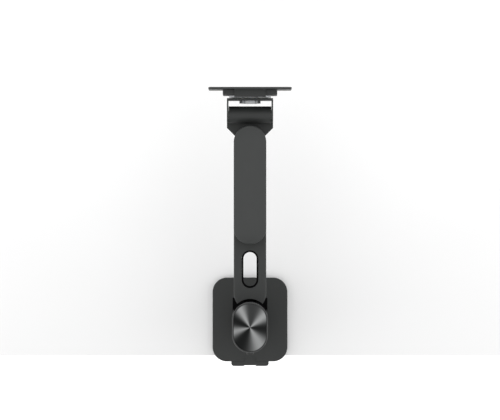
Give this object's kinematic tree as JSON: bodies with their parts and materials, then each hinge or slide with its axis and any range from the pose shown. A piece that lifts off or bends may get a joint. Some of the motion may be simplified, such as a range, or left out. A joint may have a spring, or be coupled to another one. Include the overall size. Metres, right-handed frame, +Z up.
{
  "type": "monitor arm",
  "caption": "Desk-clamped monitor arm: a swivelling column whose arm slides up and down, a second swinging arm, and a tilting, turning monitor plate.",
  "frame": {"origin": "on the desk's surface, at the middle of the base's rubber sheet where the column's axis meets it", "axes": "+Z up along the column, +Y forward from the column to the monitor, +X to the right seen from behind the column"},
  "size_m": [0.116, 0.3944, 0.551],
  "materials": {
    "graphite_paint": "matte graphite powder coat",
    "painted_aluminium": "matte graphite powder coat",
    "cast_aluminium": "dark anodised casting",
    "graphite_plastic": "fine satin texture",
    "black_plastic": "moulded, satin",
    "black_rubber": "fine grained",
    "acetal": "turned",
    "bright_steel": "ground",
    "zinc_steel": "zinc plated",
    "spring_steel": "blued spring steel",
    "brass": "turned",
    "spun_aluminium": "radially reflecting spun face"
  },
  "bodies": {
    "base": {"base_plate": "graphite_paint", "base_pad": "black_rubber", "pivot_post": "bright_steel", "post_screws": "zinc_steel", "thrust_washer": "acetal", "stop_washer": "bright_steel", "swivel_bolt": "zinc_steel", "clamp_spine": "graphite_paint", "clamp_jaw": "graphite_paint", "clamp_bolts": "zinc_steel", "screw_nut": "brass"},
    "clamp_foot": {"pressure_plate": "bright_steel", "pressure_pad": "black_rubber"},
    "clamp_handle": {"clamp_screw": "bright_steel", "clamp_knob": "black_plastic"},
    "column": {"column_tube": "painted_aluminium", "front_panel": "black_plastic", "column_foot": "cast_aluminium", "swivel_bush": "acetal", "column_screws": "zinc_steel", "guide_rods": "bright_steel", "top_block": "cast_aluminium", "column_cap": "painted_aluminium", "cap_disc": "spun_aluminium", "drum_axle": "bright_steel", "spring_strip": "spring_steel"},
    "drum": {"spring_drum": "acetal", "spring_coil": "spring_steel"},
    "lift_arm": {"carriage": "cast_aluminium", "carriage_bushes": "acetal", "lower_arm": "painted_aluminium", "arm_screws": "zinc_steel", "cable_rim": "black_plastic", "arm_cheeks": "black_plastic", "elbow_pin": "bright_steel", "elbow_washer": "acetal", "elbow_springs": "spring_steel", "elbow_nut": "zinc_steel", "elbow_cap": "black_plastic"},
    "upper_arm": {"upper_arm": "painted_aluminium", "upper_cover": "graphite_plastic", "elbow_bush": "acetal", "head_bush": "acetal", "cable_cover": "black_plastic"},
    "head": {"head_bracket": "painted_aluminium", "head_pin": "bright_steel", "head_washer": "acetal", "head_springs": "spring_steel", "head_nut": "zinc_steel", "head_cap": "black_plastic", "tilt_bushes": "acetal", "tension_screw": "zinc_steel"},
    "tilt_frame": {"tilt_bracket": "graphite_paint", "tilt_shaft": "bright_steel"},
    "turn_plate": {"turn_hub": "bright_steel", "turn_washer": "acetal", "turn_nut": "zinc_steel", "receiver": "painted_aluminium", "hub_screws": "zinc_steel", "monitor_plate": "graphite_paint"},
    "release": {"release_button": "black_plastic"}
  },
  "joints": [
    {"name": "column_swivel", "type": "hinge", "parent": "base", "child": "column", "pos_m": [0, 0, 0.012], "axis": [0, 0, 1], "range_deg": [-90, 90]},
    {"name": "lift", "type": "slide", "parent": "column", "child": "lift_arm", "axis": [0, 0, 1], "range_m": [-0.095, 0.16], "deforming": ["spring_strip"]},
    {"name": "drum_spin", "type": "hinge", "parent": "column", "child": "drum", "pos_m": [0, -0.011, 0.382], "axis": [1, 0, 0], "range_deg": [-364, 612]},
    {"name": "elbow", "type": "hinge", "parent": "lift_arm", "child": "upper_arm", "pos_m": [0, 0.135, 0.19], "axis": [0, 0, 1], "range_deg": [-150, 150]},
    {"name": "head_swivel", "type": "hinge", "parent": "upper_arm", "child": "head", "pos_m": [0, 0.255, 0.19], "axis": [0, 0, -1], "range_deg": [-90, 90]},
    {"name": "tilt", "type": "hinge", "parent": "head", "child": "tilt_frame", "pos_m": [0, 0.293, 0.2015], "axis": [1, 0, 0], "range_deg": [-10, 25]},
    {"name": "turn", "type": "hinge", "parent": "tilt_frame", "child": "turn_plate", "pos_m": [0, 0.313, 0.2015], "axis": [0, 1, 0], "range_deg": [-90, 90]},
    {"name": "quick_release", "type": "slide", "parent": "turn_plate", "child": "release", "axis": [0, 0, 1], "range_m": [0, 0.005], "stiffness_N_per_m": 400, "springref_m": -0.006},
    {"name": "clamp_turn", "type": "hinge", "parent": "clamp_foot", "child": "clamp_handle", "pos_m": [0, -0.0204, -0.033], "axis": [0, 0, 1], "range_deg": [-4200, 1800]},
    {"name": "clamp_travel", "type": "slide", "parent": "base", "child": "clamp_foot", "axis": [0, 0, 1], "range_m": [-0.0351, 0.0151]}
  ],
  "couplings": [
    {"joint": "drum_spin", "follows": "lift", "rad_per_m": 66.667},
    {"joint": "clamp_travel", "follows": "clamp_turn", "m_per_rad": 0.00047746}
  ]
}
